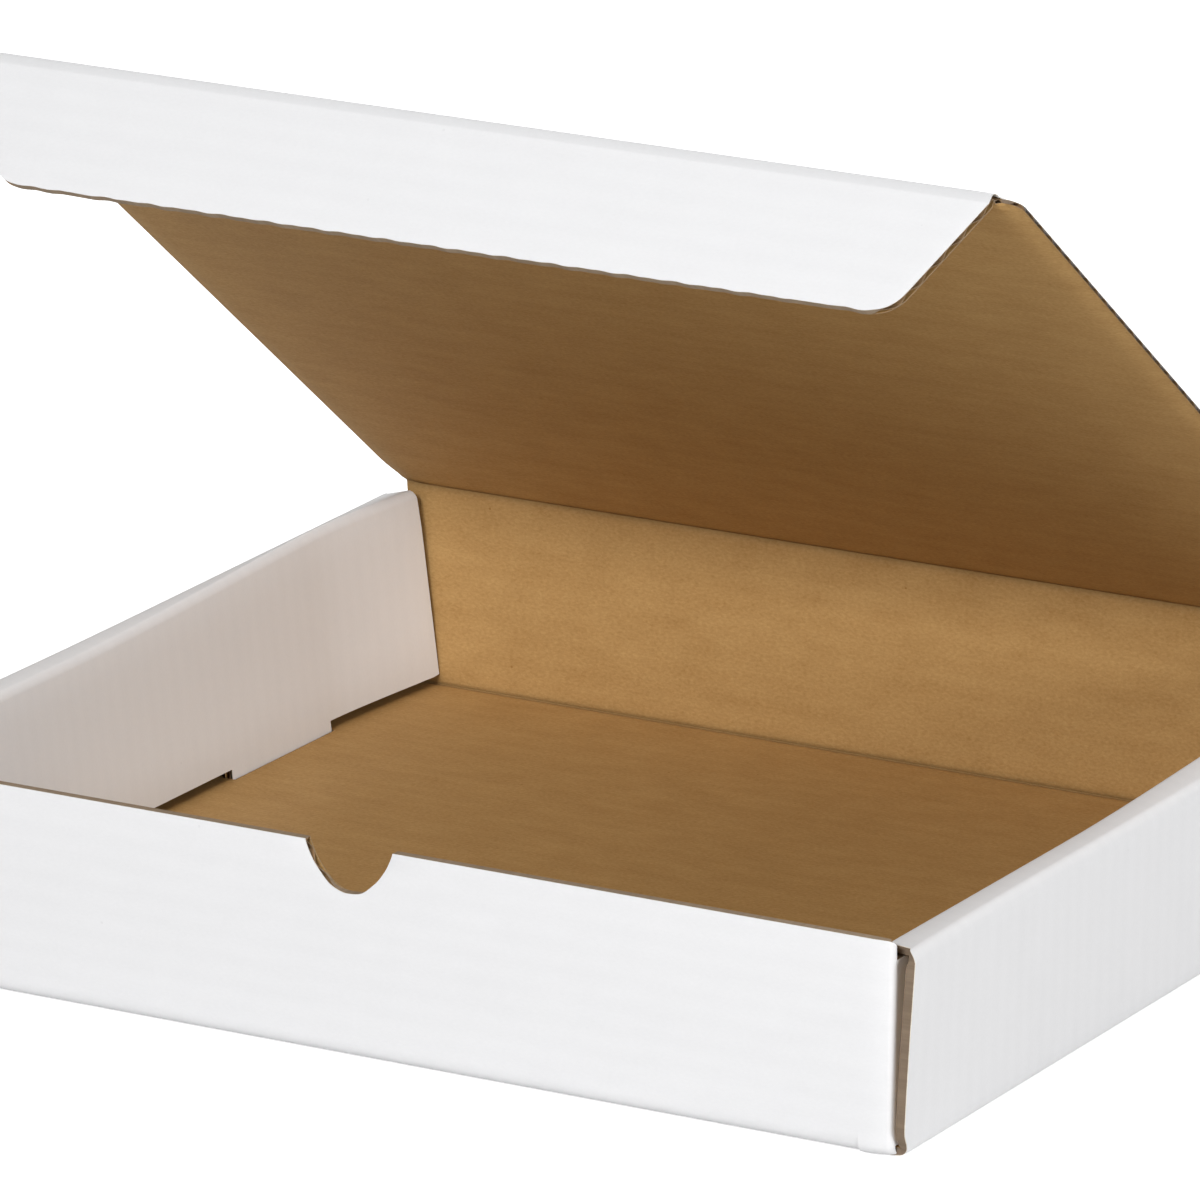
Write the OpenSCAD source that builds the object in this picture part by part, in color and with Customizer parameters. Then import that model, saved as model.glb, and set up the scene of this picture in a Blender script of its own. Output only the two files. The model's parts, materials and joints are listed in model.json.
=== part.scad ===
// Literature mailer: a flat carton folded from one die-cut sheet of white-lined corrugated board.
// Outer side panels roll over the ears of the front and back walls and lock with tabs in the base.
// The lid is hinged on the back wall's crease and its tuck flap goes down inside the front wall.
// X runs to the right, Y to the back and Z up; the origin is the middle of the tray's underside.

/* [Tray] */
// Outer width of the tray at its base
tray_width = 312; // [260:1:380]
// Outer depth of the tray, from front face to back face
tray_depth = 288; // [250:1:360]
// Height of the front wall's cut top edge
front_height = 55.5; // [46:0.5:80]
// How far the rolled tops of the side walls stay below the front wall's edge
roll_drop = 1.75; // [0.5:0.25:4]
// How far the lid's hinge line stands above the front wall's edge
hinge_rise = 4.5; // [3.75:0.25:8]

/* [Board] */
// Thickness of the corrugated board
board = 2.9; // [2:0.1:3.6]
// Clearance between layers that lie together, and at the creases that move
layer_gap = 0.3; // [0.25:0.05:0.5]

/* [Rolled side walls] */
// How far the top of an outer side panel leans outwards
side_lean = 0.6; // [0:0.1:1.5]
// Spare room between an ear and the inner panel, where the board rolls over
roll_room = 0.5; // [0:0.1:2]
// How far the foot of an inner panel stands in from its top
inner_slope = 6; // [1:0.25:7]
// Height of the open gap under an inner panel, beside its tabs
panel_lift = 2.6; // [1.5:0.1:4]
// How far the ends of an inner panel draw back at the top
panel_taper = 2.5; // [0.5:0.25:6]
// Length of a locking tab along the wall
tab_length = 52; // [30:1:60]
// Distance of a tab's outer end from the tray's front or back face
tab_setback = 56; // [40:1:62]
// Length of the ears of the front and back walls, from the tray's corner
ear_length = 60; // [30:1:100]
// Radius of the cut corners of the outer side panels and of the lid
corner_radius = 4; // [2:0.25:5]
// How far the cut ends of an outer side panel stay back from the front and back faces
panel_inset = 0.5; // [0.25:0.25:1.5]

/* [Front wall] */
// Radius of the half-round thumb notch
notch_radius = 12.5; // [8:0.5:16]
// Radius of the top corners at the ends of the front and back walls
wall_radius = 1.5; // [0.5:0.25:3]

/* [Lid] */
// How far the lid's side edges stay in from the tray's sides
lid_inset = 5.75; // [4.5:0.25:8]
// Angle of the open lid above the closed, level lid
lid_angle = 36.6; // [0:0.2:143]
// How far the lid's sides draw in at the hinge
hinge_taper = 2; // [0.5:0.25:4]
// Length of the drawn-in stretch beside the hinge
hinge_taper_length = 15; // [6:1:30]
// How far the lid's front corners stay back from the flap's fold
lid_setback = 2.5; // [2.5:0.25:8]

/* [Tuck flap] */
// Length of the flap from its fold to its free edge
flap_length = 34.5; // [20:0.5:38]
// Clearance of the flap's ends from the inner panels at their top
flap_clearance = 0.8; // [0.5:0.1:4]
// How far each slanted end of the flap draws in at the free edge
flap_slant = 21.5; // [6:0.5:30]
// Radius of the flap's free corners
flap_radius = 12; // [4:0.5:14]
// Angle of the fold between the lid and the flap
flap_angle = 90; // [0:1:110]
// Room between the flap's free edge and the front wall as the lid swings shut
swing_clearance = 0.5; // [0.3:0.1:3]

/* [Hidden] */
$fn = 64;
cut = 1;
half_board = board / 2;
half_width = tray_width / 2;
half_depth = tray_depth / 2;
// Heights of the rolled tops, of the ears under them and of the hinge axis
roll_height = front_height - roll_drop;
ear_height = roll_height - board - layer_gap;
hinge_height = front_height + hinge_rise;
hinge_y = half_depth - half_board;
// A rolled wall is an outer panel, an ear and an inner panel, with room on each side of the ear
wall = 3 * board + 2 * layer_gap + roll_room;
ear_x = half_width - board - layer_gap - half_board;
// Midline of a rolled side wall, from the middle of the base over the top to the inner panel's foot
base_mid = [0, half_board];
base_fold = [half_width - half_board, half_board];
outer_fold = [half_width - half_board + side_lean, roll_height - half_board];
inner_fold = [half_width - wall + half_board, roll_height - half_board];
panel_foot_z = board + panel_lift;
slope_rate = inner_slope / (inner_fold[1] - board);
panel_foot = inner_fold - [slope_rate, 1] * (inner_fold[1] - panel_foot_z);
tab_foot = inner_fold - [slope_rate, 1] * (inner_fold[1] - layer_gap);
slot_foot = inner_fold - [slope_rate, 1] * (inner_fold[1] + board);
tab_middle = half_depth - tab_setback - tab_length / 2;
roll_half_length = half_depth - board - layer_gap;
// The lid's length puts the swinging flap's free edge just inside the front wall
crease_gap = half_board + layer_gap;
swing_radius = tray_depth - half_board - board - swing_clearance;
lid_length = sqrt(swing_radius * swing_radius - flap_length * flap_length) - half_board
  - flap_length * cos(flap_angle);
lid_half = half_width - lid_inset;
hinge_half = lid_half - hinge_taper;
flap_half = half_width - wall - flap_clearance;

// Board seen edge-on: straight lengths of sheet along a chain of midline points, with round folds
module board_run(points, thickness = board) {
  for (i = [0 : len(points) - 2]) {
    step = points[i + 1] - points[i];
    translate(points[i])
      rotate(atan2(step[1], step[0]))
        translate([0, -thickness / 2])
          square([norm(step), thickness]);
  }
  for (i = [1 : 1 : len(points) - 2])
    translate(points[i])
      circle(d = thickness);
}

// A cross-section drawn in X and Z, carried along Y
module along_y(length) {
  rotate([90, 0, 0])
    linear_extrude(length, center = true)
      children();
}

// A cross-section drawn in Y and Z, carried along X
module along_x(length) {
  rotate([90, 0, 90])
    linear_extrude(length, center = true)
      children();
}

// What is cut away to round a corner that lies at the origin, with the board below and left of it
module corner_cut(radius) {
  difference() {
    translate([-radius, -radius])
      square(radius + cut);
    translate([-radius, -radius])
      circle(radius);
  }
}

module both_sides() {
  children();
  mirror([1, 0, 0])
    children();
}

module both_ends() {
  children();
  mirror([0, 1, 0])
    children();
}

// Base, front wall and back wall, with the thumb notch and the rounded top corners
module main_run() {
  difference() {
    along_x(2 * ear_x)
      board_run([
        [half_board - half_depth, front_height],
        [half_board - half_depth, half_board],
        [half_depth - half_board, half_board],
        [half_depth - half_board, hinge_height - crease_gap]
      ]);
    translate([0, -half_depth, front_height])
      rotate([90, 0, 0])
        cylinder(h = 4 * board, r = notch_radius, center = true);
    both_sides() {
      wall_corner(-half_depth + half_board, front_height);
      wall_corner(half_depth - half_board, hinge_height - crease_gap);
    }
  }
}

// The rounded cut at the end of a front or back wall's top edge, above its ear
module wall_corner(y, top) {
  translate([ear_x, y, 0])
    along_y(2 * board) {
      translate([0, top])
        corner_cut(wall_radius);
    }
}

// An ear, folded back from the end of a front or back wall, with its rounded lower corner
module ear() {
  translate([0, 0, board + layer_gap])
    linear_extrude(ear_height - board - layer_gap)
      translate([ear_x - half_board, half_board - half_depth])
        square([board, ear_length - half_board]);
  translate([ear_x, half_board - half_depth, half_board]) {
    cylinder(h = ear_height - half_board, d = board);
    sphere(d = board);
  }
}

// The outer panel of a side wall, folded up from the base, with rounded top corners
module outer_panel() {
  difference() {
    along_y(tray_depth - 2 * panel_inset)
      board_run([base_mid, base_fold, outer_fold]);
    both_ends()
      translate([half_width, panel_inset - half_depth, roll_height])
        rotate([90, 0, -90])
          linear_extrude(3 * board, center = true)
            corner_cut(corner_radius);
  }
}

// The rolled top and the inner panel of a side wall, with the tabs that lock it in the base
module inner_panel() {
  intersection() {
    along_y(tray_depth) {
      board_run([outer_fold, inner_fold, panel_foot]);
      translate(outer_fold)
        circle(d = board);
    }
    along_x(2 * tray_width)
      polygon([
        [-roll_half_length, 0],
        [roll_half_length, 0],
        [roll_half_length - panel_taper, roll_height + cut],
        [panel_taper - roll_half_length, roll_height + cut]
      ]);
  }
  both_ends()
    translate([0, tab_middle, 0])
      along_y(tab_length)
        board_run([inner_fold, tab_foot]);
}

// The slots in the base that take an inner panel's tabs
module tab_slots() {
  both_ends()
    translate([0, tab_middle, 0])
      along_y(tab_length + 2 * layer_gap)
        board_run([panel_foot, slot_foot], board + 2 * layer_gap);
}

module tray() {
  color("white") {
    difference() {
      union() {
        main_run();
        both_sides()
          outer_panel();
      }
      both_sides()
        tab_slots();
    }
    both_sides() {
      inner_panel();
      both_ends()
        ear();
    }
  }
}

// Half of the lid's outline, from the hinge at the origin towards the fold
module lid_outline() {
  difference() {
    polygon([
      [0, 0],
      [hinge_half, 0],
      [lid_half, -hinge_taper_length],
      [lid_half, lid_setback - lid_length],
      [flap_half, lid_setback - lid_length],
      [flap_half, crease_gap - lid_length],
      [0, crease_gap - lid_length]
    ]);
    translate([lid_half, lid_setback - lid_length])
      mirror([0, 1])
        corner_cut(corner_radius);
  }
}

// The lid lies level here, with its hinge axis on the X axis and its fold towards -Y
module level_lid() {
  difference() {
    linear_extrude(board, center = true)
      both_sides()
        lid_outline();
    // The inner corner at the fold is crushed back, so that the flap can fold past a right angle
    along_x(2 * tray_width)
      polygon([
        [crease_gap - lid_length - cut, 0],
        [crease_gap - lid_length, 0],
        [crease_gap - lid_length + board, -board],
        [crease_gap - lid_length - cut, -board]
      ]);
  }
  rotate([0, 90, 0])
    cylinder(h = 2 * hinge_half, d = board, center = true);
}

module place_lid() {
  translate([0, hinge_y, hinge_height])
    rotate([-lid_angle, 0, 0])
      children();
}

module lid() {
  color("white")
    place_lid()
      level_lid();
}

// The flap lies level here, with its fold axis on the X axis and its free edge towards -Y
module level_flap() {
  linear_extrude(board, center = true)
    both_sides()
      difference() {
        polygon([
          [0, 0],
          [flap_half, 0],
          [flap_half - flap_slant, -flap_length],
          [0, -flap_length]
        ]);
        flap_corner();
      }
  rotate([0, 90, 0])
    cylinder(h = 2 * flap_half, d = board, center = true);
}

// The rounded free corner: an arc that touches the slanted end and the free edge
module flap_corner() {
  lean = atan2(flap_slant, flap_length);
  reach = flap_radius * tan((90 - lean) / 2);
  centre = [flap_half - flap_slant - reach, flap_radius - flap_length];
  difference() {
    polygon([
      [centre[0], -flap_length - cut],
      [flap_half, -flap_length - cut],
      centre + flap_radius * [cos(lean), -sin(lean)] + cut * [cos(lean), -sin(lean)],
      centre + flap_radius * [cos(lean), -sin(lean)],
      centre
    ]);
    translate(centre)
      circle(flap_radius);
  }
}

module tuck_flap() {
  color("white")
    place_lid()
      translate([0, -lid_length, 0])
        rotate([flap_angle, 0, 0])
          level_flap();
}

tray();
lid();
tuck_flap();
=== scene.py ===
import json
import math

import bpy
import numpy as np
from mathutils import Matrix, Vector


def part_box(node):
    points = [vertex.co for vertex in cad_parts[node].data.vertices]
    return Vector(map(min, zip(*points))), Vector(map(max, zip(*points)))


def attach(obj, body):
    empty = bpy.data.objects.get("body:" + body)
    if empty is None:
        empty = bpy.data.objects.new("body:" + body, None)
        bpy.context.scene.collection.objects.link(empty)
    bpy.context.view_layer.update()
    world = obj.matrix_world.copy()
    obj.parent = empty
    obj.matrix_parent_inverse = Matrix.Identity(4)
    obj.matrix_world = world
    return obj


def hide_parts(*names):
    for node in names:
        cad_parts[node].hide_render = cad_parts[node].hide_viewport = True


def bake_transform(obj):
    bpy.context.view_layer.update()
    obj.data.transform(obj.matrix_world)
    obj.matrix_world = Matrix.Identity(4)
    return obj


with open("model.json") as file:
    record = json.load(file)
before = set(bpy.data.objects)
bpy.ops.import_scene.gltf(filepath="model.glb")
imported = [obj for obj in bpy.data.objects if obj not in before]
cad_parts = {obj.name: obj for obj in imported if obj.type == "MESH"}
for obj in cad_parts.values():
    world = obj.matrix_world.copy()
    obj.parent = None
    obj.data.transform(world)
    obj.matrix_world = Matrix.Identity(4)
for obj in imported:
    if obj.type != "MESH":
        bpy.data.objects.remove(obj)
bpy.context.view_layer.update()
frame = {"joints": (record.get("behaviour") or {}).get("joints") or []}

# Literature mailer: one die-cut sheet of white-lined corrugated board, folded into a tray with a lid.
# The board is made as it is in life, from two liners with a fluted paper between them. Each point of the
# flat sheet has a place on a run of folds, and every layer lies at its own height across the board there.

# Base with front and back wall
# The middle of the sheet: base, front wall with its half-round thumb notch, and back wall, folded up on
# scored creases. White paper lines the outside, brown kraft the inside, and the fluting runs left to right.
board = 0.0029
liner = 0.00025
fluting_paper = 0.0002
flute_pitch = 0.0064
liner_sag = 0.000012
cut_crush, cut_crush_reach = 0.05, 0.0012
edge_slope, edge_slope_reach = 0.05, 0.0035
cut_fill_reach = 0.0005
crease_crush = 0.35
fold_radius = 0.0016
layer_gap = 0.0003

half_board = board / 2
half_width = 0.156
half_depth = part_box("tray")[1].y
front_height = 0.0555
notch_radius = 0.0125
notch_flank, notch_ripple = 1.6, 0.009
ripple_beats, second_share = (9, 15), 0.6
notch_zone, notch_fill_power = 0.016, 8
joints = {joint["name"]: joint for joint in frame["joints"]}
hinge_y, hinge_z = joints["lid_hinge"]["pos_m"][1:]
hinge_reach = 0.005
ear_seam, side_seam = 0.008, 0.002
ear_x = half_width - board - layer_gap - half_board
ear_start = ear_x - ear_seam
base_half = half_width - half_board - fold_radius - side_seam
slot_inner, slot_outer = 0.1398, 0.1436
tab_near, tab_far = 0.036, 0.088


def folded_run(corners, radius=fold_radius, arc_points=25):
    """A path of straight lengths, with an arc of the given radius at each corner between them.

    An arc starts and ends radius * tan(half the turn) from its corner. Gives the distance, place and
    direction angle of the path's points, and the distances at which each arc starts and ends.
    """
    corners = np.array(corners, float)
    lengths = np.diff(corners, axis=0)
    angles = np.unwrap(np.arctan2(lengths[:, 1], lengths[:, 0]))
    places, turns = [corners[:1]], [angles[:1]]
    for corner, before, after in zip(corners[1:-1], angles[:-1], angles[1:]):
        turn = after - before
        side = np.sign(turn)
        reach = radius * math.tan(abs(turn) / 2)
        start = corner - reach * np.array([math.cos(before), math.sin(before)])
        centre = start + side * radius * np.array([-math.sin(before), math.cos(before)])
        swing = np.linspace(before, after, arc_points)
        places.append(centre + side * radius * np.stack([np.sin(swing), -np.cos(swing)], 1))
        turns.append(swing)
    places, turns = np.concatenate([*places, corners[-1:]]), np.concatenate([*turns, angles[-1:]])
    steps = np.linalg.norm(np.diff(places, axis=0), axis=1)
    distance = np.concatenate([[0], np.cumsum(steps)])
    ends = arc_points * np.arange(1, len(corners) - 1)
    bends = [(distance[end - arc_points + 1], distance[end]) for end in ends]
    return distance, places, turns, bends


def across_board(run, distance, height):
    """The run's point at a distance, moved outwards along its normal by the height in the board."""
    along, places, turns = run[:3]
    turn = np.interp(distance, along, turns)
    first = np.interp(distance, along, places[:, 0]) + height * np.sin(turn)
    second = np.interp(distance, along, places[:, 1]) - height * np.cos(turn)
    return first, second


def stations(*groups):
    """One rising list of positions from several groups, without repeats."""
    return np.unique(np.round(np.concatenate([np.atleast_1d(group) for group in groups]), 6))


def layer_heights(sheet_v, along, across, crease, slope_share):
    """Lower and upper height of each paper layer in the board.

    The fluting is a cosine across the flutes. Each liner touches its crests and sags a little between
    them. Near a cut edge all heights shrink by bell curves of the distance, as the knife has crushed the
    board, and at a cut along the flutes the crushed fluting fills the space between the liners. A scored
    crease is crushed too, by its own share.
    """
    wave = np.cos(2 * np.pi * sheet_v / flute_pitch)
    edge = np.minimum(along, across)
    squeeze = 1 - cut_crush * np.exp(-(edge / cut_crush_reach) ** 2)
    squeeze = squeeze - slope_share * np.exp(-(edge / edge_slope_reach) ** 2)
    squeeze = squeeze * (1 - crease_crush * crease)
    fill = np.exp(-(along / cut_fill_reach) ** 2)
    space = half_board - liner
    crest = (space - fluting_paper / 2) * wave
    outer = half_board - liner_sag * (1 - wave) / 2
    inner = -half_board + liner_sag * (1 + wave) / 2
    low = (crest - fluting_paper / 2) * (1 - fill) - space * fill
    high = (crest + fluting_paper / 2) * (1 - fill) + space * fill
    return {
        "outer_liner": ((outer - liner) * squeeze, outer * squeeze),
        "inner_liner": (inner * squeeze, (inner + liner) * squeeze),
        "fluting": (low * squeeze, high * squeeze),
    }


def shell_part(high, low, marks, keep):
    """A closed thin layer between two grids of points.

    Both grids have a face on each kept cell, and a rim joins them wherever a kept cell has no neighbour.
    The faces are turned so that the upper grid's side looks away from the lower grid.
    """
    count = high.shape[0] * high.shape[1]
    index = np.arange(count).reshape(high.shape[:2])
    ring = [index[:-1, :-1], index[1:, :-1], index[1:, 1:], index[:-1, 1:]]
    ground = np.pad(keep, 1)
    beside = [ground[1:-1, :-2], ground[2:, 1:-1], ground[1:-1, 2:], ground[:-2, 1:-1]]
    top = np.stack([corner[keep] for corner in ring], 1)
    rims = []
    for start, end, neighbour in zip(ring, ring[1:] + ring[:1], beside):
        open_side = keep & ~neighbour
        p, q = start[open_side], end[open_side]
        rims.append(np.stack([q, p, p + count, q + count], 1))
    rim = np.concatenate(rims)
    faces = np.concatenate([top, top[:, ::-1] + count, rim])
    points = np.concatenate([high.reshape(-1, 3), low.reshape(-1, 3)])
    a, b, d = (points[top[:, i]] for i in (0, 1, 3))
    upward = np.einsum("ij,ij->", np.cross(b - a, d - a), a - points[top[:, 0] + count])
    if upward < 0:
        faces = faces[:, ::-1]
    used, faces = np.unique(faces, return_inverse=True)
    faces = faces.reshape(-1, 4)
    marks = np.concatenate([marks.reshape(-1, 3)] * 2)[used]
    return points[used], faces, marks, np.arange(len(faces)) >= 2 * len(top)


def paper_object(name, parts, finish, cut_finish, sharp_degrees=35):
    """One mesh from several closed layers, whose rims are cut paper.

    The position on the flat sheet is its UV map, and its nearness to a scored crease is an attribute.
    """
    offsets = np.cumsum([0] + [len(part[0]) for part in parts])
    points = np.concatenate([part[0] for part in parts])
    faces = np.concatenate([part[1] + offset for part, offset in zip(parts, offsets)])
    marks = np.concatenate([part[2] for part in parts])
    is_rim = np.concatenate([part[3] for part in parts])
    mesh = bpy.data.meshes.new(name)
    mesh.vertices.add(len(points))
    mesh.vertices.foreach_set("co", points.astype(np.float32).ravel())
    mesh.loops.add(faces.size)
    mesh.loops.foreach_set("vertex_index", faces.astype(np.int32).ravel())
    mesh.polygons.add(len(faces))
    mesh.polygons.foreach_set("loop_start", np.arange(0, faces.size, 4, dtype=np.int32))
    mesh.polygons.foreach_set("material_index", is_rim.astype(np.int32))
    mesh.update(calc_edges=True)
    layer = mesh.uv_layers.new(name="sheet")
    layer.data.foreach_set("uv", marks[faces.ravel(), :2].astype(np.float32).ravel())
    crease = mesh.attributes.new("crease", "FLOAT", "POINT")
    crease.data.foreach_set("value", marks[:, 2].astype(np.float32))
    mesh.materials.append(finish)
    mesh.materials.append(cut_finish)
    mesh.polygons.foreach_set("use_smooth", np.ones(len(faces), bool))
    mesh.set_sharp_from_angle(angle=math.radians(sharp_degrees))
    piece = bpy.data.objects.new(name, mesh)
    bpy.context.scene.collection.objects.link(piece)
    return piece


def place_node(tree, kind, links=(), **settings):
    """A shader node with its settings, and its inputs either linked to another socket or set to a value."""
    made = tree.nodes.new(kind)
    for key, value in settings.items():
        setattr(made, key, value)
    for socket, source in dict(links).items():
        if isinstance(source, bpy.types.NodeSocket):
            tree.links.new(source, made.inputs[socket])
        else:
            made.inputs[socket].default_value = source
    return made


def paper_grain_group():
    """What the papers share: soft clouds, fibres, a faint painted shade at each flute and rare specks.

    Clouds and fibres are noise, drawn out along the flutes. The painted washboard shade is a cosine across
    the flutes, and the specks are the middles of a few Voronoi cells.
    """
    cloud_scale, fibre_scale = (60.0, 110.0, 0.0), (800.0, 1400.0, 0.0)
    speck_scale, speck_size, speck_rarity = 140.0, 0.05, 0.96
    tree = bpy.data.node_groups.new("paper_grain", "ShaderNodeTree")
    tree.interface.new_socket("Sheet", in_out="INPUT", socket_type="NodeSocketVector")
    for output in ("Cloud", "Fibre", "Washboard_shade", "Speck"):
        tree.interface.new_socket(output, in_out="OUTPUT", socket_type="NodeSocketFloat")
    sheet = tree.nodes.new("NodeGroupInput").outputs["Sheet"]
    result = tree.nodes.new("NodeGroupOutput")
    drift = place_node(tree, "ShaderNodeVectorMath", {0: sheet, 1: cloud_scale}, operation="MULTIPLY")
    cloud = place_node(
        tree, "ShaderNodeTexNoise",
        {"Vector": drift.outputs[0], "Scale": 1.0, "Detail": 4.0, "Roughness": 0.6})
    web = place_node(tree, "ShaderNodeVectorMath", {0: sheet, 1: fibre_scale}, operation="MULTIPLY")
    fibre = place_node(
        tree, "ShaderNodeTexNoise",
        {"Vector": web.outputs[0], "Scale": 1.0, "Detail": 4.0, "Roughness": 0.65, "Distortion": 0.4})
    axes = place_node(tree, "ShaderNodeSeparateXYZ", {0: sheet})
    # Painted shade: a cosine stripe at each flute, where the liner's washboard is shaded.
    phase = place_node(
        tree, "ShaderNodeMath", {0: axes.outputs["Y"], 1: 2 * math.pi / flute_pitch}, operation="MULTIPLY")
    wave = place_node(tree, "ShaderNodeMath", {0: phase.outputs[0]}, operation="COSINE")
    washboard_shade = place_node(
        tree, "ShaderNodeMath", {0: wave.outputs[0], 1: 0.5, 2: 0.5}, operation="MULTIPLY_ADD")
    cells = place_node(tree, "ShaderNodeTexVoronoi", {"Vector": sheet, "Scale": speck_scale})
    dot = place_node(
        tree, "ShaderNodeMath", {0: cells.outputs["Distance"], 1: speck_size}, operation="LESS_THAN")
    pick = place_node(tree, "ShaderNodeSeparateColor", {0: cells.outputs["Color"]})
    rare = place_node(
        tree, "ShaderNodeMath", {0: pick.outputs[0], 1: speck_rarity}, operation="GREATER_THAN")
    speck = place_node(
        tree, "ShaderNodeMath", {0: dot.outputs[0], 1: rare.outputs[0]}, operation="MULTIPLY")
    tree.links.new(cloud.outputs["Fac"], result.inputs["Cloud"])
    tree.links.new(fibre.outputs["Fac"], result.inputs["Fibre"])
    tree.links.new(washboard_shade.outputs[0], result.inputs["Washboard_shade"])
    tree.links.new(speck.outputs[0], result.inputs["Speck"])
    return tree


paper_grain = paper_grain_group()


def paper_finish(name, dark, light, shares, roughness, tooth=0.00006, crease_painted_shade=0.0):
    """A matt paper: its colour runs from dark to light with the clouds, fibres, painted flute shade and
    specks.

    The mix is 0.5 plus each effect, less its mean, times its share. The fibres also raise a fine tooth, and
    near a scored crease the colour is darkened by its share, a painted shade in the fold.
    """
    material = bpy.data.materials.new(name)
    material.use_nodes = True
    tree = material.node_tree
    shader = tree.nodes["Principled BSDF"]
    sheet = place_node(tree, "ShaderNodeUVMap", uv_map="sheet")
    grain = place_node(tree, "ShaderNodeGroup", node_tree=paper_grain)
    tree.links.new(sheet.outputs["UV"], grain.inputs["Sheet"])
    mix = 0.5 - shares["Cloud"] / 2 - shares["Fibre"] / 2 - shares["Washboard_shade"] / 2
    for effect, share in shares.items():
        mix = place_node(
            tree, "ShaderNodeMath", {0: grain.outputs[effect], 1: share, 2: mix},
            operation="MULTIPLY_ADD").outputs[0]
    colour = place_node(
        tree, "ShaderNodeMix", {0: mix, 6: (*dark, 1.0), 7: (*light, 1.0)},
        data_type="RGBA", clamp_factor=True)
    # Painted shade: the colour is scaled down towards the middle of each scored crease.
    crease = place_node(tree, "ShaderNodeAttribute", attribute_name="crease")
    shade = place_node(
        tree, "ShaderNodeMath", {0: crease.outputs["Fac"], 1: -crease_painted_shade, 2: 1.0},
        operation="MULTIPLY_ADD")
    colour = place_node(
        tree, "ShaderNodeVectorMath", {0: colour.outputs[2], "Scale": shade.outputs[0]}, operation="SCALE")
    bump = place_node(
        tree, "ShaderNodeBump", {"Height": grain.outputs["Fibre"], "Strength": 0.5, "Distance": tooth})
    tree.links.new(colour.outputs[0], shader.inputs["Base Color"])
    tree.links.new(bump.outputs[0], shader.inputs["Normal"])
    shader.inputs["Roughness"].default_value = roughness
    shader.inputs["Specular IOR Level"].default_value = 0.25
    return material


cut_shares = {"Cloud": 0.8, "Fibre": 1.2, "Washboard_shade": 0.0, "Speck": 0.0}
# The flute stripe shares paint the shade of the liners' washboard.
white_outside = paper_finish(
    "white_outside", (0.755, 0.755, 0.765), (0.845, 0.845, 0.855),
    {"Cloud": 0.4, "Fibre": 0.6, "Washboard_shade": 0.10, "Speck": -3.0}, roughness=0.55, tooth=0.00003)
# The kraft lining's crease share is painted shade along its folds.
kraft_inside = paper_finish(
    "kraft_inside", (0.335, 0.18, 0.055), (0.565, 0.36, 0.146),
    {"Cloud": 0.6, "Fibre": 1.2, "Washboard_shade": 0.05, "Speck": -0.5}, roughness=0.75, crease_painted_shade=0.4)
fluting_kraft = paper_finish(
    "fluting_kraft", (0.25, 0.14, 0.06), (0.42, 0.27, 0.14),
    {"Cloud": 0.8, "Fibre": 1.0, "Washboard_shade": 0.0, "Speck": 0.0}, roughness=0.8)
cut_white = paper_finish("cut_white", (0.66, 0.58, 0.47), (0.86, 0.81, 0.73), cut_shares, roughness=0.85)
cut_kraft = paper_finish("cut_kraft", (0.25, 0.188, 0.128), (0.43, 0.33, 0.232), cut_shares, roughness=0.85)
# Painted shade: the same cut edge as cut_kraft, darker, for cut ends whose open flutes and gaps lie in
# shade.
cut_painted_shade = paper_finish("cut_painted_shade", (0.15, 0.108, 0.074), (0.27, 0.20, 0.14), cut_shares, roughness=0.85)
layer_finish = {"outer_liner": white_outside, "inner_liner": kraft_inside, "fluting": fluting_kraft}


def board_pieces(name, grids, slope_share=edge_slope, cut_brown=cut_kraft):
    """The two liners and the fluting of a piece of board, as one object for each layer.

    A grid gives the place of a point from its height, its position on the flat sheet, its distances from
    a cut along and a cut across the flutes, its nearness to a crease, and which of its cells are board.
    """
    pieces = []
    for layer, finish in layer_finish.items():
        cut_finish = cut_white if layer == "outer_liner" else cut_brown
        parts = []
        for place, sheet_u, sheet_v, along, across, crease, keep in grids:
            low, high = layer_heights(sheet_v, along, across, crease, slope_share)[layer]
            marks = np.stack(np.broadcast_arrays(sheet_u, sheet_v, crease), -1)
            parts.append(shell_part(place(high), place(low), marks, keep))
        piece = paper_object(f"{name}_{layer}", parts, finish, cut_finish)
        pieces.append(piece)
    return pieces


def crease_line(run, distance):
    """How near a point is to the middle of a fold: a bell curve of its distance along the run."""
    middles = np.mean(run[3], axis=1)
    return np.exp(-np.min(np.abs(distance[..., None] - middles), -1) ** 2 / fold_radius ** 2)


def carried_across(x, run, distance):
    """Gives a point's place from its height: the run lies in Y and Z, and X runs along the creases."""
    def place(height):
        y, z = across_board(run, distance, height)
        return np.stack([x, y, z], -1)

    return place


main_run = folded_run([
    (half_board - half_depth, front_height),
    (half_board - half_depth, half_board),
    (half_depth - half_board, half_board),
    (half_depth - half_board, hinge_z - hinge_reach),
])
main_length = main_run[0][-1]
front_fold_start, front_fold_end = main_run[3][0]
back_fold_start = main_run[3][1][0]
base_middle = (front_fold_end + back_fold_start) / 2

# Rows run down the front wall, along the base and up the back wall, and columns run from left to right.
bend_points = 9
no_cut = 1.0
cut_steps = cut_fill_reach * np.array([0.4, 0.8, 1.4, 2.4])
slot_ends = np.array([-tab_far, -tab_near, tab_near, tab_far]) + layer_gap * np.array([-1, 1, -1, 1])
main_rows = stations(
    np.arange(0, main_length, flute_pitch / 6), main_length, notch_zone, cut_steps,
    *(np.linspace(*bend, bend_points) for bend in main_run[3]), base_middle + slot_ends)
main_columns = stations(
    -notch_radius * np.cos(np.linspace(0, np.pi, 41)),
    *(side * np.array([0.02, 0.06, 0.1, slot_inner, ear_start, slot_outer, base_half]) for side in (-1, 1)))
row, column = np.meshgrid(main_rows, main_columns, indexing="ij")

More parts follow.
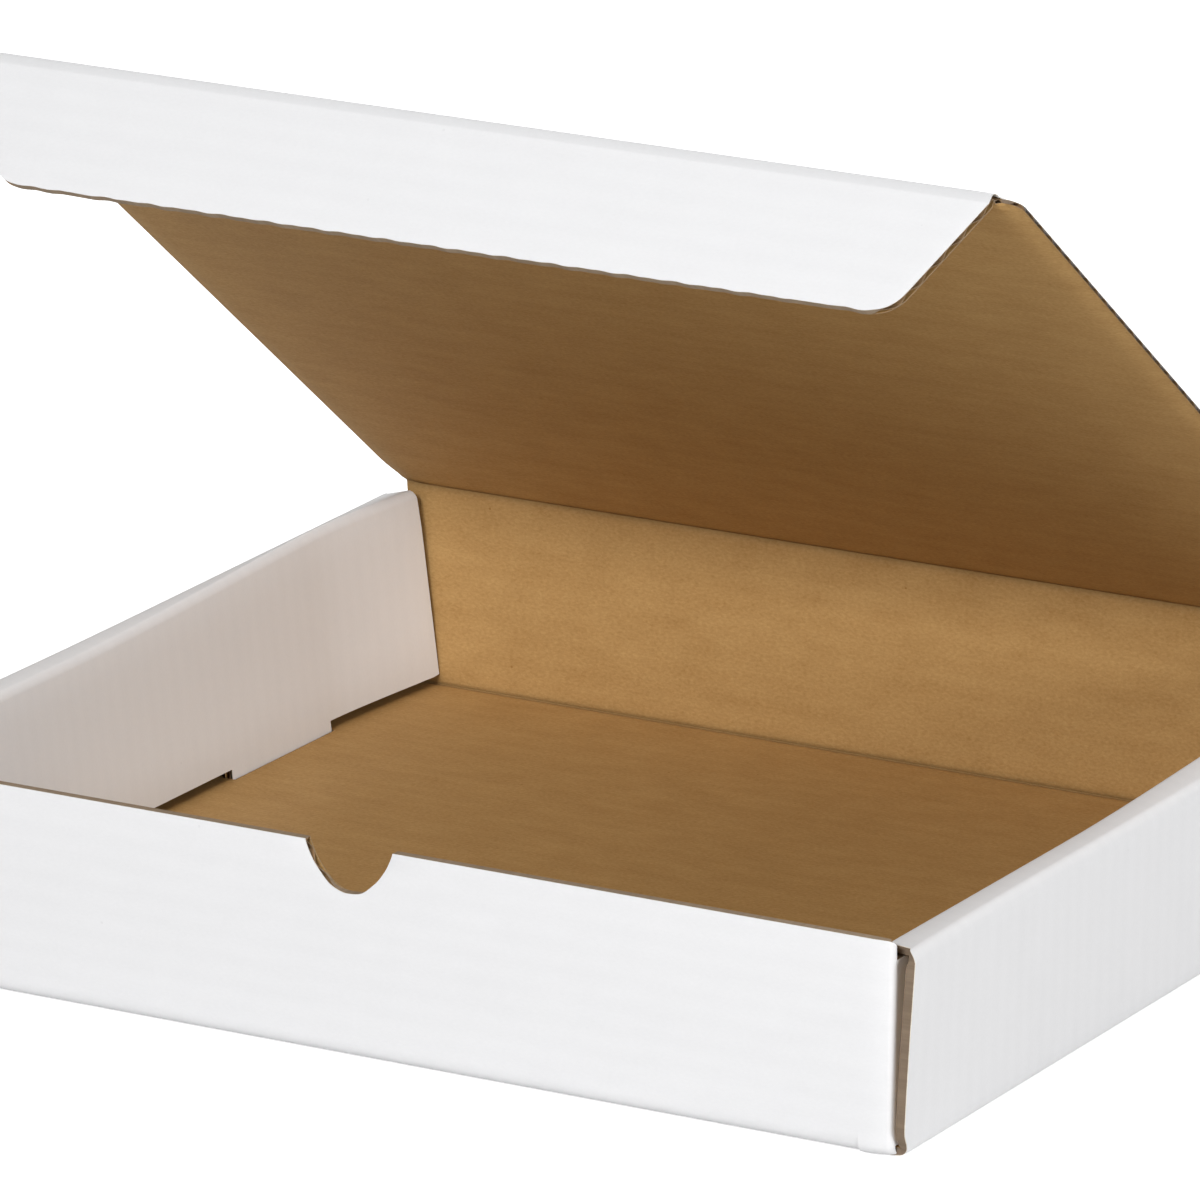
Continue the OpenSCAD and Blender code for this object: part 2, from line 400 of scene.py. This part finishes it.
# The notch's depth is its radius times a power of a sine, rippled by two cosines. It pushes the rows down.
notch_turn = np.arccos(np.clip(column / notch_radius, -1, 1))
first_wave, second_wave = np.cos(ripple_beats[0] * notch_turn + 1), np.cos(ripple_beats[1] * notch_turn)
notch_wave = 1 + notch_ripple * (first_wave + second_share * second_wave)
notch_depth = notch_radius * np.sin(notch_turn) ** notch_flank * notch_wave
notch_share = np.clip(row / notch_zone, 0, 1)
main_distance = np.where(row < notch_zone, notch_depth + (notch_zone - notch_depth) * notch_share, row)
main_edge = np.where(row < notch_zone, main_distance - notch_depth, no_cut)
along_flutes = np.where(np.abs(column) < notch_radius, np.sin(notch_turn) ** notch_fill_power, 1.0)
main_along = np.hypot(main_edge, cut_fill_reach * np.sqrt(-np.log(np.maximum(along_flutes, 1e-9))))
main_crease = crease_line(main_run, main_distance)

cell_row = (main_rows[:-1] + main_rows[1:])[:, None] / 2
cell_column = np.abs(main_columns[:-1] + main_columns[1:])[None] / 2
cell_y = np.abs(cell_row - base_middle)
on_wall = (cell_row < front_fold_end) | (cell_row > back_fold_start)
in_slot = (cell_column > slot_inner) & (cell_column < slot_outer)
in_slot = in_slot & (cell_y > tab_near - layer_gap) & (cell_y < tab_far + layer_gap)
main_keep = ~(on_wall & (cell_column > ear_start)) & ~in_slot
on_main_run = carried_across(column, main_run, main_distance)
tray_sheet = board_pieces(
    "tray_sheet", [(on_main_run, column, main_distance, main_along, main_edge, main_crease, main_keep)])
for piece in tray_sheet:
    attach(piece, "tray")
    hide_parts("tray")

# Ears
# Four ears at the ends of the front and back wall, folded back inside the rolled side walls.
# They are the same board, and only their rounded folds show at the tray's corners.
roll_drop = 0.00175
roll_height = front_height - roll_drop
ear_height = roll_height - board - layer_gap
ear_length = 0.060
wall_radius = 0.0015
ear_fold_radius = 0.0009
drop_start, drop_end, drop_width = 0.0068, 0.0083, 0.00005
row_slack = 1e-6

ear_run = folded_run([
    (ear_start, half_board - half_depth),
    (ear_x, half_board - half_depth),
    (ear_x, ear_length - half_depth),
], ear_fold_radius)
ear_fold_end = ear_run[3][0][1]
ear_end = ear_run[0][-1]
ear_rows = stations(
    [0, 0.003, 0.02, ear_end], drop_start + wall_radius * np.sin(np.linspace(0, np.pi / 2, 15)),
    drop_end + drop_width, np.linspace(*ear_run[3][0], 13),
    ear_end - cut_crush_reach * np.array([0.5, 1.0, 2.0, 4.0]))
ear_levels = stations(np.arange(0, 1, flute_pitch / 6 / ear_height), 1, cut_steps / ear_height)


def ear_grid(side, end, wall_top):
    """One ear, with the end of its wall: one run lies in X and Y, and the wall's run lies in Y and Z.

    The top edge falls on a quarter circle at the wall's end, and then straight down to the ear's top. The
    wall's end follows the wall's lower crease too, and the ear stops above it.
    """
    drop = np.clip((ear_rows - drop_start) / (drop_end - drop_start), 0, 1)
    rounded = wall_top - wall_radius * (1 - np.sqrt(1 - drop ** 2))
    top = front_height - np.where(ear_rows > drop_end + drop_width / 2, ear_height, rounded)[:, None]
    wall_down = top + (front_fold_start - top) * ear_levels
    fold_down = np.linspace(front_fold_start, front_fold_end, bend_points)[1:]
    fold_down = np.broadcast_to(fold_down, (len(ear_rows), len(fold_down)))
    down = np.concatenate([wall_down, fold_down], 1)
    distance = np.broadcast_to(ear_rows[:, None], down.shape)
    sheet_u = side * (ear_start + distance)
    sheet_v = down if end < 0 else main_length + front_height - wall_top - down

    def place(height):
        x, y = across_board(ear_run, distance, height)
        bent_y, z = across_board(main_run, down, height)
        y = y + bent_y - (half_board - half_depth - height)
        return np.stack([side * x, -end * y, z], -1)

    above_fold = down[:-1, 1:] < front_fold_start + row_slack
    keep = above_fold | (ear_rows[1:, None] < ear_fold_end + row_slack)
    crease = crease_line(ear_run, distance)
    return place, sheet_u, sheet_v, down - top, ear_end - distance, crease, keep


ear_grids = [ear_grid(side, -1, front_height) for side in (-1, 1)]
ear_grids += [ear_grid(side, 1, hinge_z - hinge_reach) for side in (-1, 1)]
ears = board_pieces("ears", ear_grids)
for piece in ears:
    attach(piece, "tray")
    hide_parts("tray")

# Rolled side walls
# Each side folds up from the base, rolls over the ears on two close creases and comes down again inside.
# The inner panel shows its white face, and its two tabs lock in slots in the base.
side_lean = 0.0006
roll_room = 0.0005
wall = 3 * board + 2 * layer_gap + roll_room
inner_slope = 0.006
panel_lift = 0.0026
panel_taper = 0.0025
panel_inset, panel_ease, foot_zone = 0.0005, 0.007, 0.005
corner_radius, rear_radius = 0.004, 0.0015
roll_fold_radius = 0.0014
end_flare, flare_reach, flare_bow = 0.0017, 0.03, 1.5
rear_rise, rear_rise_start, rear_rise_end, outer_rise_share = 0.0046, -0.045, 0.125, 0.3
rear_spring, rear_spring_start, spring_ease = 0.0038, 0.088, 0.4
tab_taper = 0.0008
tab_centre, tab_half = (tab_near + tab_far) / 2, (tab_far - tab_near) / 2

inner_fold = np.array([half_width - wall + half_board, roll_height - half_board])
slope = np.array([inner_slope / (inner_fold[1] - board), 1.0])
tab_foot = inner_fold - slope * (inner_fold[1] - layer_gap)
side_run = folded_run([
    (base_half, half_board),
    (half_width - half_board, half_board),
    (half_width - half_board + side_lean, roll_height - half_board),
    inner_fold,
    tab_foot,
], roll_fold_radius)
side_length = side_run[0][-1]
base_fold_start, base_fold_end = side_run[3][0]
outer_fold_start, outer_fold_end = side_run[3][1]
inner_fold_start, inner_fold_end = side_run[3][2]
panel_foot = side_length - (board + panel_lift - layer_gap) * np.linalg.norm(slope)
round_start = outer_fold_end - corner_radius
outer_half = half_depth - panel_inset
roll_half = half_depth - board - layer_gap

# Rows run from the base up the outer panel, over the roll and down the inner panel to the tabs.
side_rows = stations(
    0, side_length, *(np.linspace(*bend, bend_points) for bend in side_run[3]),
    np.linspace(base_fold_end, round_start, 7), np.linspace(inner_fold_end, panel_foot, 7),
    base_fold_end + np.linspace(0, foot_zone, 6),
    round_start + corner_radius * np.sin(np.linspace(0, np.pi / 2, 11)),
    panel_foot - cut_crush_reach * np.array([0.25, 0.5, 1.0, 2.0, 4.0]))
opening = np.clip((side_rows - base_fold_start) / panel_ease, 0, 1)
outer_end = roll_half + (outer_half - roll_half) * opening ** 2 * (3 - 2 * opening)
inner_end = roll_half - panel_taper * np.interp(side_rows, [inner_fold_start, side_length], [1, 0])
roll_share = np.interp(side_rows, [outer_fold_end, inner_fold_start], [0, 1])


def panel_end(radius):
    """Half the side's length at each row, with a quarter circle of the radius at the top of the panel."""
    rounding = np.clip((side_rows - outer_fold_end + radius) / radius, 0, 1)
    rounded = outer_end - radius * (1 - np.sqrt(1 - rounding ** 2))
    return (rounded * (1 - roll_share) + inner_end * roll_share)[:, None]


# Columns run from the front end to the rear end, with fine steps at both cut ends.
flute_half = 0.124
end_insets = np.array([0.012, 0.009, 0.0066, 0.00485, 0.0034, 0.0022, 0.0014, 0.0007, 0.0])
flute_columns = stations(
    np.arange(-flute_half, flute_half, flute_pitch / 5), flute_half,
    [-tab_far, -tab_near, tab_near, tab_far])
side_y = np.concatenate([
    end_insets[::-1] - panel_end(corner_radius),
    np.broadcast_to(flute_columns, (len(side_rows), len(flute_columns))),
    panel_end(rear_radius) - end_insets,
], 1)
side_end = np.where(side_y < 0, panel_end(corner_radius), panel_end(rear_radius))
tab_middle = np.sign(side_y) * tab_centre
tapered_y = tab_middle + (side_y - tab_middle) * (1 - tab_taper / tab_half)
side_y = np.where(side_rows[:, None] > panel_foot, tapered_y, side_y)
side_distance = np.broadcast_to(side_rows[:, None], side_y.shape)
past_tab = np.abs(np.abs(side_y) - tab_centre) - tab_half
above_foot = np.maximum(panel_foot - side_distance, 0)
foot_edge = np.where(past_tab > 0, above_foot, np.hypot(above_foot, np.maximum(-past_tab, 0)))
end_edge = np.maximum(side_end - np.abs(side_y), 0)
side_crease = crease_line(side_run, side_distance)
cell_y = np.abs(side_y[:-1, :-1] + side_y[:-1, 1:]) / 2
cell_row = (side_rows[:-1] + side_rows[1:])[:, None] / 2
side_keep = (cell_row < panel_foot) | ((cell_y > tab_near) & (cell_y < tab_far))

# The sheet's play: the outer panel flares at its ends, and at the rear the roll rises and the inner panel
# springs in.
flare = np.interp(side_rows, [base_fold_end, outer_fold_start, inner_fold_start], [0, 1, 0])[:, None]
flare = end_flare * flare ** flare_bow * np.exp(-end_edge / flare_reach)
rise = np.clip((side_y - rear_rise_start) / (rear_rise_end - rear_rise_start), 0, 1)
rise_share = np.interp(
    side_rows, [base_fold_end, outer_fold_end, inner_fold_start, inner_fold_end, panel_foot],
    [0, outer_rise_share, 1, 1, 0])
rise = rear_rise * rise ** 2 * (3 - 2 * rise) * rise_share[:, None]
spring = np.clip((side_y - rear_spring_start) / (roll_half - rear_spring_start), 0, 1)
spring = rear_spring * (1 + spring_ease) * spring ** 2 / (spring + spring_ease) * roll_share[:, None]


def side_grid(side):
    """One rolled wall: the run lies in X and Z, and Y runs along the creases.

    Towards its cut ends the outer panel springs out a little, by an exponential along the wall. The back
    wall's higher corner lifts the rear half of the roll by a smooth step, most at its inner crease. Behind
    its tabs the inner panel springs in, slowly at first and then evenly.
    """
    def place(height):
        x, z = across_board(side_run, side_distance, height)
        return np.stack([side * (x + flare - spring), side_y, z + rise], -1)

    sheet_u, sheet_v = side * (base_half + side_distance), base_middle + side_y
    return place, sheet_u, sheet_v, end_edge, foot_edge, side_crease, side_keep


# The rolled sides' brown cut edges take the darker cut colour, a painted shade.
rolled_sides = board_pieces("rolled_sides", [side_grid(side) for side in (-1, 1)], cut_brown=cut_painted_shade)
for piece in rolled_sides:
    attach(piece, "tray")
    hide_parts("tray")

# Lid
# The top panel, one flat stretch of the sheet. Its cut sides show the waves of the fluting, it draws in
# beside the hinge, and its front corners are rounded off beside the tuck flap.
lid_inset = 0.00575
hinge_taper, hinge_taper_length = 0.002, 0.015
lid_half = half_width - lid_inset
hinge_half = lid_half - hinge_taper
lid_setback = 0.0025
lid_edge_slope = 0.58
flap_clearance = 0.0008
flap_half = half_width - wall - flap_clearance
fold_slack = 0.0001
fold_y, fold_z = joints["flap_hinge"]["pos_m"][1:]
hinge_place, fold_place = np.array([hinge_y, hinge_z]), np.array([fold_y, fold_z])
lid_length = np.linalg.norm(fold_place - hinge_place)
lid_way = (fold_place - hinge_place) / lid_length
lid_v = main_length + hinge_reach


def across_sheet(side, middle=()):
    """Positions across the sheet at each row: fine steps at both cut sides, and the given ones between."""
    right = side[:, None] - end_insets
    between = np.broadcast_to(np.array(middle, float), (len(side), len(middle)))
    return np.concatenate([-right[:, ::-1], between, right], 1)


def whole_piece(x):
    """Every cell of the grid is board."""
    return np.ones((x.shape[0] - 1, x.shape[1] - 1), bool)


lid_end = lid_length - lid_setback
lid_rows = stations(
    np.arange(hinge_reach, lid_end, flute_pitch / 10),
    lid_end - corner_radius * (1 - np.sin(np.linspace(0, np.pi / 2, 13))), lid_end - cut_steps)
taper = np.clip(lid_rows / hinge_taper_length, 0, 1)
corner = np.clip((lid_rows - lid_end + corner_radius) / corner_radius, 0, 1)
lid_side = hinge_half + (lid_half - hinge_half) * np.sin(taper * np.pi / 2)
lid_side = lid_side - corner_radius * (1 - np.sqrt(1 - corner ** 2))
lid_columns = np.linspace(-0.13, 0.13, 7)
lid_x = across_sheet(lid_side, lid_columns)
lid_distance = np.broadcast_to(lid_rows[:, None], lid_x.shape)
on_lid = carried_across(lid_x, folded_run([hinge_place, fold_place]), lid_distance)
lid_front = np.where(np.abs(lid_x) > flap_half - fold_slack, lid_end - lid_distance, no_cut)
lid_across = lid_side[:, None] - np.abs(lid_x)
lid_grid = (on_lid, lid_x, lid_v + lid_distance, lid_front, lid_across, 0.0, whole_piece(lid_x))
# The lid's brown cut edges take the darker cut colour, a painted shade.
lid = board_pieces("lid", [lid_grid], lid_edge_slope, cut_painted_shade)
for piece in lid:
    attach(piece, "lid")
    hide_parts("lid")

# Lid hinge
# The scored crease between back wall and lid. The same sheet bends here, so the strip follows the tray
# at one side and the lid at the other.
hinge_inset = 0.004
hinge_run = folded_run([
    hinge_place - [0, hinge_reach],
    hinge_place,
    hinge_place + lid_way * hinge_reach,
])
hinge_length = hinge_run[0][-1]
hinge_rows = stations(np.linspace(0, hinge_length, 25))
hinge_side = np.interp(hinge_rows, [0, hinge_length], [ear_x - hinge_inset, lid_side[0]])
hinge_slope = np.interp(hinge_rows, [0, hinge_length], [edge_slope, lid_edge_slope])[:, None]
hinge_x = across_sheet(hinge_side)
hinge_distance = np.broadcast_to(hinge_rows[:, None], hinge_x.shape)
hinge_v = main_length + hinge_distance * (2 * hinge_reach / hinge_length)
hinge_edge = hinge_side[:, None] - np.abs(hinge_x)
hinge_crease = crease_line(hinge_run, hinge_distance)
on_hinge = carried_across(hinge_x, hinge_run, hinge_distance)
hinge_grid = (on_hinge, hinge_x, hinge_v, no_cut, hinge_edge, hinge_crease, whole_piece(hinge_x))
# The hinge strip's brown cut edges take the darker cut colour, a painted shade.
lid_crease = board_pieces("lid_crease", [hinge_grid], hinge_slope, cut_painted_shade)
for piece in lid_crease:
    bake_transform(piece)

# Tuck flap
# The flap on the lid's front fold, which goes down inside the front wall. Its ends slant in to rounded
# corners, and its free edge was cut with a wavy knife.
flap_length = 0.0345
flap_slant = 0.0187
flap_radius = 0.011
flap_reach = 0.0025
wave_pitch, wave_depth, wave_beat = 0.0068, 0.00009, 1.7
flap_way = np.array([-lid_way[1], lid_way[0]])
flap_v = lid_v + lid_length

# The free corner is an arc that touches the slanted end and the free edge.
lean = math.atan2(flap_slant, flap_length)
arc_x = flap_half - flap_slant - flap_radius * math.tan((math.pi / 2 - lean) / 2)
arc_v = flap_length - flap_radius
arc_drop = flap_radius * math.sin(lean)
flap_rows = stations(
    np.arange(flap_reach, flap_length, flute_pitch / 8), arc_v - arc_drop,
    arc_v + flap_radius * np.sin(np.linspace(lean, math.pi / 2, 17)), flap_length - cut_steps)
arc_side = arc_x + np.sqrt(np.maximum(flap_radius ** 2 - (flap_rows - arc_v) ** 2, 0))
slant_side = flap_half - flap_slant * flap_rows / flap_length
flap_side = np.where(flap_rows > arc_v + arc_drop, arc_side, slant_side)
flap_columns = np.linspace(-0.1, 0.1, 160)
flap_x = across_sheet(flap_side, flap_columns)

# Two cosines along the edge draw the free edge back, less and less up to the start of the corner's arc.
flap_share = np.clip((flap_rows - arc_v) / flap_radius, 0, 1)[:, None] ** 2
edge_turn = 2 * np.pi * flap_x / wave_pitch
ripple = 2 + np.cos(edge_turn) + np.cos(edge_turn / wave_beat + 1)
flap_distance = flap_rows[:, None] - wave_depth * ripple * flap_share
flap_along = np.broadcast_to(flap_length - flap_rows[:, None], flap_x.shape)
flap_across = flap_side[:, None] - np.abs(flap_x)
flap_run = folded_run([fold_place, fold_place + flap_way * (flap_length + flap_reach)])
on_flap = carried_across(flap_x, flap_run, flap_distance)
flap_grid = (on_flap, flap_x, flap_v + flap_distance, flap_along, flap_across, 0.0, whole_piece(flap_x))
tuck_flap = board_pieces("tuck_flap", [flap_grid])
for piece in tuck_flap:
    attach(piece, "tuck_flap")
    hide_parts("tuck_flap")

# Flap fold
# The scored crease between lid and tuck flap. It is a strip of the same sheet, bent from the lid into the
# flap.
flap_fold_radius = 0.0009
fold_run = folded_run([
    fold_place - lid_way * lid_setback,
    fold_place,
    fold_place + flap_way * flap_reach,
], flap_fold_radius)
fold_length = fold_run[0][-1]
fold_rows = stations(np.linspace(0, fold_length, 21))
fold_side = np.full(len(fold_rows), flap_side[0])
fold_x = across_sheet(fold_side)
fold_distance = np.broadcast_to(fold_rows[:, None], fold_x.shape)
fold_v = flap_v - lid_setback + fold_distance * ((lid_setback + flap_reach) / fold_length)
fold_edge = fold_side[:, None] - np.abs(fold_x)
fold_crease = crease_line(fold_run, fold_distance)
on_fold = carried_across(fold_x, fold_run, fold_distance)
fold_grid = (on_fold, fold_x, fold_v, no_cut, fold_edge, fold_crease, whole_piece(fold_x))
flap_crease = board_pieces("flap_crease", [fold_grid])
for piece in flap_crease:
    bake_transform(piece)

# Floor, light and camera
# A plain pale floor that is white to the camera and keeps a soft contact shadow. The studio light is soft,
# strongest from the front and the right, with two weaker lamps behind the lid.
floor_half, floor_drop = 6.0, 0.0002
floor_tone, floor_lift = 0.75, 0.8
sky_strength = 0.05
aim_point = Vector((0, 0, 0.06))


def seen_by_camera(tree):
    """A mask that is 1 for what the camera sees straight on, in a mirror or through glass."""
    path = place_node(tree, "ShaderNodeLightPath")
    mask = path.outputs["Is Camera Ray"]
    for ray in ("Is Glossy Ray", "Is Transmission Ray"):
        mask = place_node(
            tree, "ShaderNodeMath", {0: mask, 1: path.outputs[ray]}, operation="MAXIMUM").outputs[0]
    return mask


floor_mesh = bpy.data.meshes.new("floor")
floor_corners = [(-1, -1), (1, -1), (1, 1), (-1, 1)]
floor_mesh.from_pydata(
    [(x * floor_half, y * floor_half, -floor_drop) for x, y in floor_corners], [], [(0, 1, 2, 3)])
floor = bpy.data.objects.new("floor", floor_mesh)
bpy.context.scene.collection.objects.link(floor)

floor_finish = bpy.data.materials.new("floor_finish")
floor_finish.use_nodes = True
floor_tree = floor_finish.node_tree
floor_shader = floor_tree.nodes["Principled BSDF"]
floor_shader.inputs["Base Color"].default_value = (floor_tone, floor_tone, floor_tone, 1)
floor_shader.inputs["Roughness"].default_value = 0.9
floor_shader.inputs["Specular IOR Level"].default_value = 0.0
floor_shader.inputs["Emission Color"].default_value = (1, 1, 1, 1)
lift = place_node(
    floor_tree, "ShaderNodeMath", {0: seen_by_camera(floor_tree), 1: floor_lift}, operation="MULTIPLY")
floor_tree.links.new(lift.outputs[0], floor_shader.inputs["Emission Strength"])
floor_mesh.materials.append(floor_finish)

world = bpy.data.worlds.new("studio")
bpy.context.scene.world = world
world.use_nodes = True
sky_tree = world.node_tree
sky_tree.nodes.clear()
soft_sky = place_node(sky_tree, "ShaderNodeBackground", {"Color": (1, 1, 1, 1), "Strength": sky_strength})
white_sky = place_node(sky_tree, "ShaderNodeBackground", {"Color": (1, 1, 1, 1), "Strength": 1.0})
sky = place_node(
    sky_tree, "ShaderNodeMixShader",
    {0: seen_by_camera(sky_tree), 1: soft_sky.outputs[0], 2: white_sky.outputs[0]})
place_node(sky_tree, "ShaderNodeOutputWorld", {"Surface": sky.outputs[0]})


def soft_box(name, place, power, width=0.9, height=0.45):
    """An oblong lamp that faces a point a little above the middle of the tray's base."""
    lamp = bpy.data.lights.new(name, "AREA")
    lamp.shape = "RECTANGLE"
    lamp.size, lamp.size_y = width, height
    lamp.energy = power
    holder = bpy.data.objects.new(name, lamp)
    bpy.context.scene.collection.objects.link(holder)
    holder.location = place
    aim = aim_point - holder.location
    holder.rotation_euler = aim.to_track_quat("-Z", "Y").to_euler()


soft_box("front_light", (0.0, -1.866, 1.226), 32.5, height=0.2)
soft_box("right_light", (2.022, -0.736, 0.517), 23.0)
soft_box("back_right_light", (0.559, 1.536, 1.532), 13.0)
soft_box("back_left_light", (-0.559, 1.536, 1.532), 10.5)

camera_place = (1.33367, -2.43283, 0.89223)
camera_turn = (73.7346, -0.4834, 29.0342)
camera_lens, sensor_width, camera_reach = 336.53, 36.0, 100.0
camera_data = bpy.data.cameras.new("camera")
camera_data.sensor_width = sensor_width
camera_data.lens = camera_lens
camera_data.clip_end = camera_reach
camera = bpy.data.objects.new("camera", camera_data)
bpy.context.scene.collection.objects.link(camera)
camera.location = camera_place
camera.rotation_euler = [math.radians(angle) for angle in camera_turn]
bpy.context.scene.camera = camera
bpy.context.scene.view_settings.view_transform = "Standard"
